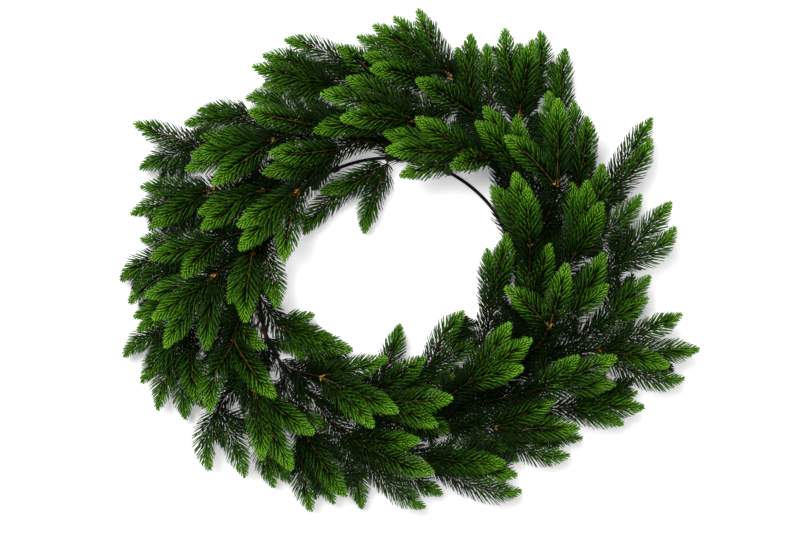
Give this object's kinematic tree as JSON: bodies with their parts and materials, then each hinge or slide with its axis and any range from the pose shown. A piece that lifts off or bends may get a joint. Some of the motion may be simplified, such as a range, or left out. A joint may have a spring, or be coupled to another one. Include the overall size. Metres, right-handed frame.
{
  "type": "spruce wreath",
  "caption": "Artificial spruce wreath: a black coated wire ring with moulded, forked sprays of thick green needles tied all round it, sweeping one way.",
  "frame": {"origin": "on the surface the wreath lies on, under the middle of its outline", "axes": "+Z is the front of the wreath, which faces up, +Y is its top as it hangs, and +X is to the right seen from the front"},
  "size_m": [0.5535, 0.4808, 0.0879],
  "materials": {
    "ring_coating": "steel wire in a smooth, satin black coating",
    "spruce_green": "moulded needles, bright yellow-green at the finger tips and dark green at the base, satin"
  },
  "bodies": {
    "root": {"ring": "ring_coating", "spray_01": "spruce_green", "spray_02": "spruce_green", "spray_03": "spruce_green", "spray_04": "spruce_green", "spray_05": "spruce_green", "spray_06": "spruce_green", "spray_07": "spruce_green", "spray_08": "spruce_green", "spray_09": "spruce_green", "spray_10": "spruce_green", "spray_11": "spruce_green", "spray_12": "spruce_green", "spray_13": "spruce_green", "spray_14": "spruce_green", "spray_15": "spruce_green", "spray_16": "spruce_green", "spray_17": "spruce_green", "spray_18": "spruce_green", "spray_19": "spruce_green", "spray_20": "spruce_green", "spray_21": "spruce_green", "spray_22": "spruce_green", "spray_23": "spruce_green", "spray_24": "spruce_green", "spray_25": "spruce_green", "spray_26": "spruce_green", "spray_27": "spruce_green", "spray_28": "spruce_green", "spray_29": "spruce_green", "spray_30": "spruce_green", "spray_31": "spruce_green", "spray_32": "spruce_green", "spray_33": "spruce_green", "spray_34": "spruce_green", "spray_35": "spruce_green", "spray_36": "spruce_green", "spray_37": "spruce_green", "spray_38": "spruce_green", "spray_39": "spruce_green", "spray_40": "spruce_green", "spray_41": "spruce_green", "spray_42": "spruce_green", "spray_43": "spruce_green", "spray_44": "spruce_green", "spray_45": "spruce_green", "spray_46": "spruce_green", "spray_47": "spruce_green", "spray_48": "spruce_green", "spray_49": "spruce_green", "spray_50": "spruce_green", "spray_51": "spruce_green", "spray_52": "spruce_green"}
  },
  "joints": []
}
